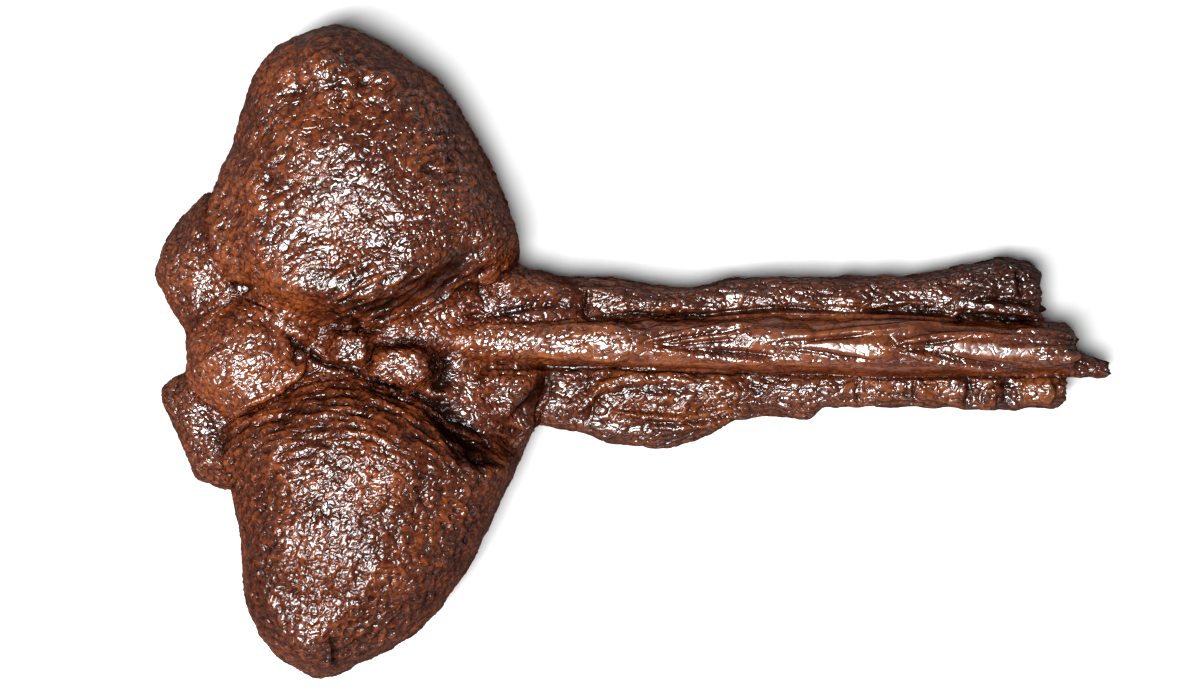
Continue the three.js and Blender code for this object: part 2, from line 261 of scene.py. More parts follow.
FORMS = {
    "major_osteoderm_left": Bulge(
        (-236, 112), 84, 102, 90, 0.62,
        [(-357, 133), (-339, 181), (-320, 237), (-308, 254), (-290, 266), (-270, 274), (-249, 277),
         (-220, 266), (-197, 252), (-168, 231), (-149, 207), (-127, 168), (-106, 120), (-97, 91), (-107, 66),
         (-150, 44), (-200, 20), (-250, 14), (-318, 38), (-355, 84)],
        [(-264, 252, 30, 22), (-200, 232, 20, 10), (-280, 210, 26, -14), (-228, 208, 22, -9),
         (-158, 190, 40, -10), (-334, 122, 24, -18), (-310, 166, 22, -8), (-276, 52, 28, 12),
         (-226, 46, 30, 14), (-182, 64, 28, 12), (-146, 84, 24, -12)]),
    "major_osteoderm_right": Bulge(
        (-242, -116), 84, 100, 90, 0.66,
        [(-341, -112), (-333, -164), (-328, -215), (-311, -249), (-285, -270), (-259, -277), (-232, -265),
         (-194, -245), (-166, -220), (-140, -181), (-116, -134), (-101, -97), (-111, -80), (-145, -62),
         (-176, -35), (-225, -16), (-275, -17), (-317, -42), (-342, -72)],
        [(-274, -250, 24, 20), (-240, -246, 16, -14), (-268, -206, 24, -8), (-152, -140, 40, -14),
         (-318, -112, 28, -12), (-200, -84, 30, 6)]),
    "terminal_osteoderm_left": Bulge(
        (-352, 70), 74, 52, 56, 0.8,
        [(-357, 134), (-372, 128), (-387, 113), (-398, 97), (-406, 80), (-408, 64), (-401, 49), (-391, 33),
         (-381, 15), (-362, -2), (-326, 12), (-306, 57), (-320, 104)]),
    "terminal_osteoderm_right": Bulge(
        (-350, -62), 72, 42, 52, 0.62,
        [(-379, -17), (-399, -27), (-403, -36), (-395, -59), (-383, -84), (-376, -103), (-367, -111),
         (-342, -117), (-326, -112), (-310, -90), (-308, -50), (-330, -20)]),
    "tail_tip_boss": Bulge(
        (-314, -8), 96, 60, 60, 0.8,
        [(-373, 8), (-352, 34), (-312, 46), (-276, 30), (-264, 2), (-280, -30), (-318, -52), (-352, -44),
         (-374, -22)]),
    "midline_osteoderm_rear": Bulge(
        (-236, 2), 120, 32, 30, 0.42,
        [(-255, 17), (-236, 20), (-219, 13), (-218, -8), (-238, -14), (-256, -3)]),
    "midline_osteoderm_front": Bulge(
        (-196, -12), 118, 36, 30, 0.42,
        [(-221, 2), (-198, 7), (-174, 4), (-163, -12), (-174, -29), (-198, -34), (-221, -25)]),
    "handle_buttress_left": Bulge(
        (-135, 40), 80, 38, 44, 0.8,
        [(-206, 22), (-180, 44), (-142, 63), (-110, 75), (-85, 69), (-62, 62), (-34, 46), (-36, 24),
         (-79, 10), (-139, 8), (-186, 10)]),
    "handle_buttress_right": Bulge(
        (-116, -34), 74, 42, 42, 0.75,
        [(-156, -14), (-128, -4), (-96, -4), (-74, -12), (-68, -34), (-82, -52), (-101, -66), (-124, -70),
         (-146, -54), (-156, -34)]),
    "knob_core": Bulge(
        (-258, 0), 72, 64, 62, 0.62,
        [(-379, 22), (-381, -3), (-379, -26), (-345, -66), (-280, -85), (-200, -88), (-139, -90), (-103, -97),
         (-95, -76), (-99, -50), (-110, 0), (-108, 50), (-98, 74), (-110, 84), (-160, 88), (-230, 80),
         (-310, 76), (-350, 56)]),
    "spine": Bar(spine_section, HANDLE_START, HANDLE_END, 0.75),
    "tendon_bundle_left": Bar(left_bundle_section, BUNDLE_START, LEFT_BUNDLE_END, 0.85),
    "tendon_bundle_right": Bar(right_bundle_section, BUNDLE_START, RIGHT_BUNDLE_END, 0.85),
    "broken_prong": Bar(prong_section, PRONG_START, PRONG_END, 0.85),
}

# ---- noise: sums of waves ----


def ripples(p, wavelength, seed, count=60, spread=0.25):
    """About -1 to 1: cosine waves of nearly one length in every direction, which add up to worm-like folds.

    Their sum is divided by its usual size, the root of half their count, and by 1.6.
    """
    draw = np.random.default_rng(seed)
    way = draw.normal(size=(count, 3))
    way /= np.linalg.norm(way, axis=1)[:, None]
    size = 2 * np.pi / (wavelength * draw.uniform(1 - spread, 1 + spread, count))
    start = draw.uniform(0, 2 * np.pi, count)
    total = np.zeros(len(p))
    for k in range(count):
        total += np.cos(p @ (way[k] * size[k]) + start[k])
    return total / math.sqrt(count / 2) / 1.6


def lumps(p, wavelength, seed, octaves=3):
    """Uneven lumps: ripples of one length, plus ripples of half the length and height, and so on."""
    return sum(ripples(p, wavelength / 2**k, seed + k, 24, 0.5) / 2**k for k in range(octaves))


def plates(value, groove):
    """Flat tops and crooked grooves: 0 where the ripples pass through nothing, and 1 on top."""
    return 1 - bell(value / groove)


def slant(p, way, size):
    """Places turned in plan, so that the axes lie along way and to its left, and sized along each axis."""
    x, y, z = p.T
    return np.stack([x * way[0] + y * way[1], y * way[0] - x * way[1], z], axis=-1) * size


# ---- joining the forms ----

REACH = 30  # how far off a neighbour still counts
TIP_FUSE, KNOB_FUSE, HANDLE_FUSE, TIGHT_FUSE = 34, 18, 7, 6


def neighbours(own):
    """The forms that a bone has grown together with: all others, but none for the splinter."""
    return [name for name in FORMS if name != own and "broken_prong" not in (name, own)]


def distance(form, p):
    """How far p is outside a form in millimetres, and the way out: its field over the field's own slope."""
    step = 0.4
    here = form.field(p)
    slope = np.stack([(form.field(p + step * np.eye(3)[k]) - here) / step for k in range(3)], axis=-1)
    steep = np.maximum(np.linalg.norm(slope, axis=1), 1e-3)
    return here / steep, slope / steep[:, None]


def nearest(others, p):
    """The least distance to several forms, as distance gives it, and REACH where all are further off."""
    far, out = np.full(len(p), float(REACH)), np.tile((0.0, 0.0, 1.0), (len(p), 1))
    for name in others:
        low, high = FORMS[name].box()
        near = np.flatnonzero(np.all((p > low - REACH) & (p < high + REACH), axis=1))
        if len(near):
            d, way = distance(FORMS[name], p[near])
            closer = d < far[near]
            far[near[closer]], out[near[closer]] = d[closer], way[closer]
    return far, out


def fusing(p):
    """How widely bones blend: most on top at the tip of the tail, and least in crevices and low down."""
    x, y, z = p.T
    wide = lerp(TIP_FUSE, KNOB_FUSE, rising(x, -320, 60))
    wide = lerp(wide, HANDLE_FUSE, rising(x, -130, 90))
    crevice = np.maximum(spot(x, y, -185, -32, 45), spot(x, y, -240, 3, 36))
    return lerp(TIGHT_FUSE, lerp(wide, TIGHT_FUSE, crevice), rising(z, 96, 24))


def settle(own, p):
    """Moves points onto the rounded union of a form and its neighbours; also how far past the seam they are.

    The union is the least of the two distances, less a quarter of fuse times the square of what is left of
    1 once their difference over fuse is taken off. Past the seam the surface dives under its neighbour.
    Each of six rounds moves a point by 0.9 of its distance, and by 4 mm at most.
    """
    others = neighbours(own)
    past = np.full(len(p), -float(REACH))
    live = np.arange(len(p))
    fuses = fusing(p)
    for _ in range(6):
        fuse = fuses[live]
        d, way = distance(FORMS[own], p[live])
        other, other_way = nearest(others, p[live])
        past[live] = d - other
        blend = np.clip(1 - np.abs(d - other) / fuse, 0, None)
        union = np.minimum(d, other) - fuse / 4 * blend**2
        mine = np.where(d < other, 1 - blend / 2, blend / 2)[:, None]
        gradient = mine * way + (1 - mine) * other_way
        beyond = np.maximum(past[live], 0)
        dive = beyond * ease(beyond / 4)
        move = np.clip((union + dive) / np.maximum(np.sum(gradient**2, axis=1), 0.3), -4, 4)
        p[live] -= (move * 0.9)[:, None] * gradient
        live = live[np.abs(past[live]) < fuse + 2]
    return p, past


# ---- grids ----

LAST_LATITUDE = -0.25  # where a Bulge's upper grid ends and its rings begin
UNDERSIDE_THRIFT = 2.2  # how many times further apart a Bar's points are on its underside
ARCH = 35  # height over which an arrowhead's arms come up the spine's sides


def lattice(rows, columns, wrap=False):
    """Four-sided faces of a grid stored row by row; wrap closes each row on itself."""
    index = np.arange(rows * columns).reshape(rows, columns)
    if wrap:
        index = np.concatenate([index, index[:, :1]], axis=1)
    return np.stack([index[:-1, :-1], index[:-1, 1:], index[1:, 1:], index[1:, :-1]], axis=-1).reshape(-1, 4)


def square_to_disc(side):
    """A square grid pressed into a disc: bearing and radius of each point, and the order of its edge.

    The larger coordinate becomes the radius, and the other's share of it an eighth of a turn to either side.
    """
    a, b = np.meshgrid(np.linspace(-1, 1, side), np.linspace(-1, 1, side))
    wide = np.abs(a) > np.abs(b)
    radius = np.where(wide, a, b)
    with np.errstate(divide="ignore", invalid="ignore"):
        turn = np.where(wide, b / a, 2 - a / b) * np.pi / 4
    turn = np.where((a == 0) & (b == 0), 0, turn)
    x, y = radius * np.cos(turn), radius * np.sin(turn)
    index = np.arange(side * side).reshape(side, side)
    loop = np.concatenate([index[0, :-1], index[:-1, -1], index[-1, :0:-1], index[:0:-1, 0]])
    return np.arctan2(y, x).ravel(), np.hypot(x, y).ravel(), loop


def bulge_grid(form, side, skirt):
    """A closed grid over a Bulge: an evenly spaced square grid over its upper face, and rings below."""
    latitude = np.linspace(np.pi / 2, LAST_LATITUDE, 200)
    out = form.length / 6 * np.cos(latitude).clip(0) ** form.edge
    run = np.hypot(np.diff(out), np.diff(form.crown * np.sin(latitude)))
    run = np.concatenate([[0], np.cumsum(run)])
    bearing, radius, loop = square_to_disc(side)
    share = bearing / (2 * np.pi)
    top = form.trace(share, np.interp(radius, run / run[-1], latitude))
    falls = lerp(LAST_LATITUDE, -np.pi / 2, np.arange(1, skirt + 1) / (skirt + 1))
    rings = form.trace(share[loop], falls[:, None] + np.zeros(len(loop)))
    foot = form.trace(np.zeros(1), np.full(1, -np.pi / 2))
    points = np.concatenate([top, rings.reshape(-1, 3), foot])
    ring = np.concatenate([loop[None], side * side + np.arange(skirt * len(loop)).reshape(skirt, -1)])
    wide = np.concatenate([ring, ring[:, :1]], axis=1)
    walls = np.stack([wide[:-1, :-1], wide[1:, :-1], wide[1:, 1:], wide[:-1, 1:]], axis=-1).reshape(-1, 4)
    bottom = np.stack([wide[-1, :-1], np.full(len(loop), len(points) - 1), wide[-1, 1:]], axis=-1)
    return points, np.concatenate([lattice(side, side), walls]), bottom


def bar_grid(form, stations, around, bend=None):
    """Rings of a Bar at the stations, with more points above than below, and the faces between them.

    bend moves each point along X by its station, side and height.
    """
    _, _, half, top, bottom = (np.mean(v) for v in form.section(stations))
    angle = np.linspace(0, 2 * np.pi, 2001)
    rise = np.where(angle < np.pi, top, bottom / UNDERSIDE_THRIFT)
    run = np.hypot(np.diff(half * power(np.cos(angle), form.corner)),
                   np.diff(rise * power(np.sin(angle), form.corner)))
    run = np.concatenate([[0], np.cumsum(run)])
    angle = np.interp(np.arange(around) / around, run / run[-1], angle)
    u = stations[:, None] + np.zeros(around)
    y, z = form.trace(u, angle)
    x = u if bend is None else u + bend(u, y, z)
    return np.stack([x, y, z], axis=-1).reshape(-1, 3), lattice(len(stations), around, wrap=True)


def arrowhead(u, y, z):
    """A joint runs forward along both arms of an arrowhead on the arch, and straight across below it.

    The move along X is the joint's reach times the share of the half width aside, eased in over the arch.
    """
    aside = 2 * np.abs(y - axis_side(u)) / along(SPINE_WIDTH, u)
    return through_vertebra(u)[1] * aside * ease((z - axis_height(u) + ARCH) / ARCH)


def normals(points, *faces):
    """The mean direction of the faces round each point, larger faces counting for more."""
    total = np.zeros_like(points)
    for face in faces:
        corner = points[face]
        cross = np.cross(corner[:, 2] - corner[:, 0], corner[:, -1] - corner[:, 1])
        for k in range(face.shape[1]):
            for axis in range(3):
                total[:, axis] += np.bincount(face[:, k], cross[:, axis], len(points))
    return total / np.maximum(np.linalg.norm(total, axis=1), 1e-9)[:, None]


# ---- relief ----


def stroke(p, path, width):
    """A line drawn on the plan: 1 on it, a bell across its width, and thinner and fainter at its ends.

    Also the share of the way along it that each point lies at.
    """
    path = np.array(path, float)
    steps = np.diff(path, axis=0)
    lengths = np.linalg.norm(steps, axis=1)
    before = np.concatenate([[0], np.cumsum(lengths)])
    low, high = path.min(axis=0) - 3 * width, path.max(axis=0) + 3 * width
    near = np.flatnonzero(np.all((p[:, :2] > low) & (p[:, :2] < high), axis=1))
    strength, along_it = np.zeros((2, len(p)))
    best, place = np.full(len(near), np.inf), np.zeros(len(near))
    for k, step in enumerate(steps):
        out = p[near, :2] - path[k]
        share = np.clip(out @ step / lengths[k] ** 2, 0, 1)
        gap = np.linalg.norm(out - share[:, None] * step, axis=1)
        closer = gap < best
        best[closer], place[closer] = gap[closer], before[k] + (share * lengths[k])[closer]
    place /= before[-1]
    along_it[near] = place
    from_end = 3.2 * np.minimum(place, 1 - place)
    strength[near] = bell(best / (width * ease(from_end + 0.25))) * ease(from_end + 0.3)
    return strength, along_it


# Ridges, grooves and smooth streams of the upper side: the line in plan, its width, and its height, or the
# heights of its two ends.
RIDGES = [
    # first arrowhead: its arms, and the splinter between them
    ([(10, 9.5), (22, 12), (48, 16), (75, 20.5), (106, 22.5)], 2.6, 3.8),
    ([(3, 5), (20, 1.5), (45, -1), (75, -4), (100, -7), (122, -7.5)], 2.8, 4),
    ([(26, 7), (45, 10), (65, 13.5), (88, 16)], 2.6, 1.8),
    ([(88, 14), (98, 13.5), (110, 12.5), (130, 12.5), (158, 13)], 6.5, (3, 6.5)),
    # second arrowhead: the long upper arm, and the smooth stem
    ([(130, 12.5), (160, 14), (190, 17), (226, 20), (262, 25)], 3.2, 4.2),
    ([(124, 6.2), (140, 6), (160, 5), (180, 3), (200, 2.5), (228, 3.5)], 8, (2.5, 7.5)),
    ([(100, -7), (130, -8), (160, -9.5), (190, -10.5)], 3, 1.6),
    ([(213, 5), (235, 9), (250, 12), (285, 14.5), (314, 14)], 2.8, 4),
    # third arrowhead and the last stem
    ([(213, 2.5), (240, -3), (277, -10), (323, -17)], 2.8, 4),
    ([(248, 3.5), (275, 3), (300, 2), (330, 0), (352, -2), (384, -4)], 9.5, (2.5, 9.5)),
    ([(300, 12), (330, 12.5), (372, 9)], 2.8, 1.8),
    ([(322, 17), (345, 17.5), (366, 16)], 2.2, 1.6),
    # the rough back of the spine nearer the knob
    ([(-158, 11), (-110, 10), (-70, 9), (-30, 8), (14, 5)], 19, (2.5, 7)),
    ([(-150, 20), (-120, 19), (-92, 20), (-56, 27)], 3.5, 1.8),
    ([(-146, 2), (-110, 1), (-75, -1), (-30, -1)], 3.5, 1.8),
    # strands beside the left bundle
    ([(60, 29), (96, 30.5), (140, 31), (190, 29.5), (240, 28.5), (276, 28)], 4, 3),
    ([(203, 37), (218, 40), (236, 43)], 2.2, 2.2),
    ([(282, 38), (305, 38.5), (330, 36), (346, 33)], 4.5, 4),
    ([(-25, 36), (0, 40), (40, 40), (64, 37)], 4, 1.8),
    ([(118, 48), (150, 44), (200, 42)], 4, 1.8),
    ([(262, 38), (290, 42), (312, 50)], 5, 2.5),
    # right buttress, and the lumps behind the lens
    ([(-138, -26), (-112, -25), (-88, -25)], 5, 3),
    ([(-128, -52), (-106, -48), (-86, -35)], 5, 3),
    ([(-58, -30), (-42, -27), (-32, -22)], 4, 2.6),
    ([(-27, -28), (-38, -40), (-50, -52)], 3.6, 3.6),
    ([(-58, -48), (-46, -42), (-40, -36)], 4, 2),
    # fuller outer halves of the right tendons
    ([(-27, -29), (0, -25), (30, -24), (60, -28), (100, -34)], 20, 5),
    ([(108, -33), (200, -33), (300, -34), (376, -33)], 15, 4),
    # the lens: its upper edge and its folds
    ([(-40, -44), (-27, -29), (0, -24), (30, -23), (60, -27), (92, -30)], 5, 7),
    ([(-20, -50), (10, -54), (40, -56), (70, -51), (104, -42)], 2.6, 6.5),
    ([(10, -64), (40, -63), (70, -59), (100, -48)], 2.6, 5),
    ([(66, -33), (80, -36), (92, -37)], 5, 6),
    ([(-60, -60), (-30, -68), (10, -74)], 4, 1.6),
    # blocks of the far right bundle
    ([(198, -26), (215, -27), (236, -30)], 7, 6),
    ([(243, -32), (252, -33), (262, -34)], 7, 6),
    ([(296, -36), (304, -38), (311, -37)], 10, 7.5),
    ([(328, -33), (345, -34), (362, -33)], 11, 7),
    ([(110, -28), (140, -31), (180, -27)], 6, 1.8),
    # knob: the flap, the rim of the boss, its scratches
    ([(-302, 36), (-286, 26), (-266, 10)], 9, 5),
    ([(-334, -46), (-312, -40), (-296, -31), (-282, -20), (-274, -6)], 4.2, 5),
    ([(-358, 13), (-348, 15.5), (-336, 17)], 1.8, 1.6),
    ([(-356, 9), (-346, 11.5), (-334, 13)], 1.8, 1.4),
    ([(-364, -16), (-354, -6), (-346, 0), (-334, 4)], 2.6, 2.2),
    ([(-300, 51), (-286, 43), (-270, 39)], 4, 3),
    # bright lower edge of the middle bone
    ([(-222, -16), (-208, -22), (-196, -25)], 3.5, 3),
    # shoulders of the left osteoderm, below and to the left of its dome
    ([(-312, 62), (-280, 48), (-245, 44), (-205, 50), (-172, 68)], 14, 2.5),
    ([(-304, 66), (-313, 100), (-311, 145), (-298, 186)], 9, 3.5),
    # streaks below the shoulder
    ([(-236, 31), (-218, 37), (-196, 50)], 1.8, 2.2),
    ([(-224, 40), (-206, 47), (-186, 60)], 1.8, 2),
    ([(-246, 38), (-228, 46), (-210, 56)], 1.8, 1.8),
    ([(-212, 32), (-194, 40), (-178, 53)], 1.8, 2.2),
    # streaks on the left buttress
    ([(-228, 24), (-205, 28), (-184, 36), (-168, 45), (-150, 57)], 2, 3),
    ([(-180, 33), (-164, 42), (-146, 53)], 1.8, 2.2),
    ([(-176, 30), (-160, 39), (-142, 49)], 1.8, 1.8),
    ([(-124, 66), (-112, 62), (-100, 54)], 6, 3),
    ([(-96, 50), (-80, 52), (-60, 56)], 5, 2),
]
GROOVES = [
    # gaps inside the arrowheads
    ([(8, 7), (22, 8), (40, 12), (70, 17.5), (95, 19.5)], 1.7, 2.4),
    ([(14, 5), (35, 6), (60, 8.5), (85, 11), (92, 13)], 1.7, 2.6),
    ([(40, 2.5), (70, 0.5), (100, -1.5), (120, -4)], 3.2, 3.8),
    ([(90, 18), (91.5, 13), (93, 7)], 1.4, 1.6),
    ([(112, 8), (135, 8.8), (150, 9.8), (172, 12), (200, 15)], 1.7, 3.2),
    ([(126, 3), (140, 2.2), (160, 0), (185, -4.5), (203, -6)], 2.2, 3.6),
    ([(222, 6), (236, 6), (254, 8), (280, 11)], 1.8, 2.6),
    ([(246, 1.5), (262, -2), (290, -7.5), (320, -13), (350, -17), (368, -19)], 1.8, 3.4),
    ([(232, 2), (245, 3), (256, 3.5)], 2.4, 2.4),
    ([(262, 0), (290, -4), (315, -9), (335, -12)], 1.4, 1.6),
    ([(228, 22), (262, 19), (300, 17), (326, 15)], 2.2, 1.8),
    # cracks towards the broken end
    ([(306, 6), (330, 7), (356, 6.5), (384, 7)], 1.8, 2.2),
    ([(322, -5), (345, -7), (366, -8), (388, -8)], 1.8, 2.2),
    ([(338, 1.5), (356, 0), (372, 0.5), (390, -1)], 1.6, 1.8),
    ([(352, 3.5), (370, 3), (392, 3.5)], 1.4, 1.4),
    ([(350, 12), (370, 11), (390, 12)], 1.6, 1.8),
    # between the spine and the left tendons
    ([(-150, 29), (-120, 30), (-90, 38), (-62, 40), (-46, 37)], 3.4, 3.6),
    ([(-40, 29), (-20, 31), (0, 33), (30, 31), (60, 31.5), (90, 34.5), (120, 37.5), (150, 36.5), (188, 34)],
     2.2, 3.6),
    ([(188, 34), (200, 35), (230, 34.5), (258, 32.5), (276, 31)], 2.4, 4),
    ([(200, 36), (215, 37.5), (240, 38), (262, 36)], 2.4, 3),
    ([(272, 24), (278, 28), (281, 34)], 2.6, 4),
    ([(278, 31), (300, 31), (325, 29.5), (348, 26)], 2.6, 3.6),
    ([(288, 44), (306, 44.5), (330, 42), (346, 39)], 2.6, 3.6),
    ([(-96, 43), (-76, 45), (-52, 43)], 2, 2.2),
    # breaks across the handle
    ([(-43, 26), (-41, 34), (-38, 42), (-39, 54)], 2.4, 3.6),
    ([(-15, 19), (-14, 25), (-13, 31)], 2, 2.6),
    ([(-38, -13), (-37, -22), (-40, -34)], 1.9, 2.8),
    # the channel between the right buttress and its tendons
    ([(-68, -13), (-72, -26), (-84, -40), (-104, -54)], 9, 5),
    # breaks across the tendons
    ([(-24, -34), (-34, -46), (-38, -58)], 2.4, 2),
    ([(330, 44), (329, 56), (326, 70)], 2.4, 3.4),
    ([(285, -20), (286, -32), (284, -46)], 3, 3.4),
    ([(318, -20), (318, -32), (319, -48)], 5, 4),
    ([(240, -22), (238, -32), (241, -42)], 2, 2.4),
    ([(192, -20), (190, -32), (193, -44)], 2, 2),
    ([(194, 55), (204, 47), (207, 52), (199, 58)], 1.8, 2.2),
    # the lens
    ([(-26, -36), (0, -32), (30, -31), (60, -36)], 3.6, 3),
    ([(0, -58), (30, -61), (60, -58), (90, -50)], 1.6, 1.8),
    # between the spine and the right tendons
    ([(-128, -15), (-90, -13), (-50, -13), (-20, -12), (20, -15), (60, -17), (110, -18)], 3.2, 3.2),
    ([(110, -18), (170, -18), (230, -20), (290, -21), (345, -22)], 2, 1.8),
    # crevices of the knob
    ([(-262, -10), (-242, -13), (-224, -21)], 2.8, 5),
    ([(-226, -20), (-208, -29), (-190, -35), (-172, -38)], 4.2, 9),
    ([(-180, -36), (-160, -50), (-146, -65), (-132, -82), (-110, -95)], 9, 8),
    ([(-167, 2), (-159, -10), (-160, -24), (-168, -34)], 7, 7),
    ([(-214, 5), (-198, 8), (-180, 8), (-168, -2)], 2.6, 2.6),
    ([(-258, 23), (-240, 21), (-225, 19), (-206, 17)], 2.6, 4),
    ([(-221, 12), (-219, 2), (-221, -12)], 2.2, 3),
    ([(-290, 17), (-278, 6), (-266, -4), (-258, -12)], 2.6, 6),
    ([(-284, 12), (-279, 2), (-281, -12)], 3.6, 5),
    ([(-336, -50), (-312, -45), (-292, -36), (-276, -20), (-262, -14)], 2.6, 3.4),
    ([(-344, 57), (-332, 54), (-320, 52)], 4, 4.5),
    ([(-360, -38), (-362, -52), (-352, -70), (-344, -90)], 2.2, 2.2),
    ([(-178, 48), (-160, 62), (-144, 76), (-122, 88)], 7, 3.5),
    ([(-128, 62), (-130, 50), (-124, 40), (-126, 30)], 2.4, 2.6),
    # folds of the left osteoderm: below its shoulder, between the cap and the dome, and down its left side
    ([(-268, 30), (-232, 33), (-196, 42), (-166, 60), (-146, 84)], 8, 2),
    ([(-300, 214), (-276, 216), (-250, 222), (-222, 224), (-206, 222)], 5, 2.6),
    ([(-306, 196), (-300, 176), (-304, 150), (-302, 120), (-308, 92)], 3.6, 2.2),
    ([(-252, -232), (-249, -246), (-252, -264)], 2.4, 3.4),
]
SMOOTH = [
    # stems of the arrowheads
    ([(110, 12.5), (150, 13.5), (200, 17.5), (250, 22)], 6),
    ([(140, 6), (170, 4), (205, 3)], 7),
    ([(262, 3), (300, 2), (342, -1)], 8),
    # the spine's left and right sides
    ([(20, 22), (70, 28), (130, 28), (200, 24), (270, 20), (330, 21)], 8),
    ([(-140, -7), (-60, -8), (20, -10), (110, -13), (200, -14), (340, -20)], 6),
    # the fold on the left buttress, the channel beside the right one, and a strand of the left bundle
    ([(-200, 36), (-160, 62), (-132, 92)], 7),
    ([(-68, -14), (-74, -28), (-88, -42), (-104, -53)], 9),
    ([(96, 31), (190, 30), (270, 28)], 5),
]

# the wrinkles of the right osteoderm follow arcs about this place
ARCS = np.array([-262.0, -190.0])


def facing_up(up):
    """1 on top and 0 below: the upward part of the way out, eased from 0.1 to 0.6."""
    return rising(up, 0.1, 0.5)


def wrinkles(p, up, name):
    """Folds of the knob in millimetres: flat tops parted by grooves 8 mm apart, and small ripples over them.

    They are deeper on slopes. On the right osteoderm ripples along arcs take over, and on the left one
    streaks: up the dome, across its left side and along its lower rim.
    """
    x, y, z = p.T
    sloping = facing_up(up) * (1 - rising(up, 0.82, 0.16))
    if name == "major_osteoderm_right":
        folds = plates(ripples(p, 6.5, 21), 0.4) - 0.5
        out = p[:, :2] - ARCS
        arcs = np.stack([np.hypot(*out.T), np.arctan2(out[:, 1], out[:, 0]) * 36, z * 0.6], axis=-1)
        deep = 0.35 + 0.4 * facing_up(up) + 0.3 * rising(y, -100, 40) + 0.45 * sloping
        return 1.1 * lerp(folds, deep * ripples(arcs, 7.0, 51), 0.7) + 0.35 * ripples(p, 4.2, 31)
    folds = plates(ripples(p, 8.0, 21), 0.4) - 0.5
    if name == "major_osteoderm_left":
        dome = 0.8 * between(y, 150, 270, 40) * rising(x, -330, 60)
        left_side = 0.7 * between(x, -345, -262, 30) * between(y, 70, 190, 40)
        rim = between(y, 24, 62, 20) * rising(x, -268, 40)
        folds = lerp(folds, 0.8 * ripples(slant(p, (0.86, 0.5), (0.35, 1, 0.6)), 7.0, 61), dome)
        folds = lerp(folds, 0.8 * ripples(slant(p, (0.6, -0.8), (1, 0.3, 0.6)), 7.0, 65), left_side)
        folds = lerp(folds, 1.4 * ripples(slant(p, (0.9, 0.45), (0.25, 1, 0.6)), 6.5, 71), rim)
    return (1.1 + 0.3 * sloping) * folds + 0.2 * ripples(p, 4.2, 31)


def fibres(p, name):
    """Grain of the handle in millimetres: ripples drawn out along X, and on its bones a cracked crust.

    The crust is plates about 8 mm wide, thickest on the tendons, and thinner on vertebrae far from the knob.
    """
    drawn_out = p * (0.14, 1, 0.8)
    fine = 0.4 * ripples(drawn_out, 5.0, 81) + 0.2 * ripples(drawn_out, 2.8, 91)
    if "vertebra" in name:
        near_knob = ease((10 - p[:, 0]) / 30)
        crust = plates(ripples(p * (0.3, 1, 1), 8.0, 101), 0.22) - 0.75
        return fine * (0.7 + 0.5 * near_knob) + crust * (0.3 + 0.6 * near_knob)
    if name == "tendon_bundle_left":
        return 0.6 * fine + 1.1 * (plates(ripples(p * (0.45, 1, 1), 7.0, 101), 0.45) - 0.5)
    if name in ("tendon_bundle_right", "broken_prong"):
        return 0.6 * fine + 1.1 * (plates(ripples(p * (0.45, 1, 1), 8.5, 101), 0.28) - 0.7)
    return fine


def drawn_lines(p):
    """How high the ridges, how deep the grooves and how smooth the streams are: the most of any line."""
    ridge, groove, smooth = np.zeros((3, len(p)))
    for path, width, height in RIDGES:
        strength, place = stroke(p, path, width)
        first, last = np.broadcast_to(height, 2)
        ridge = np.maximum(ridge, lerp(first, last, place) * np.minimum(1, 1.4 * strength))
    for path, width, depth in GROOVES:
        groove = np.maximum(groove, depth * stroke(p, path, width)[0])
    for path, width in SMOOTH:
        smooth = np.maximum(smooth, stroke(p, path, width)[0])
    return ridge, groove, np.minimum(1, 1.4 * smooth)


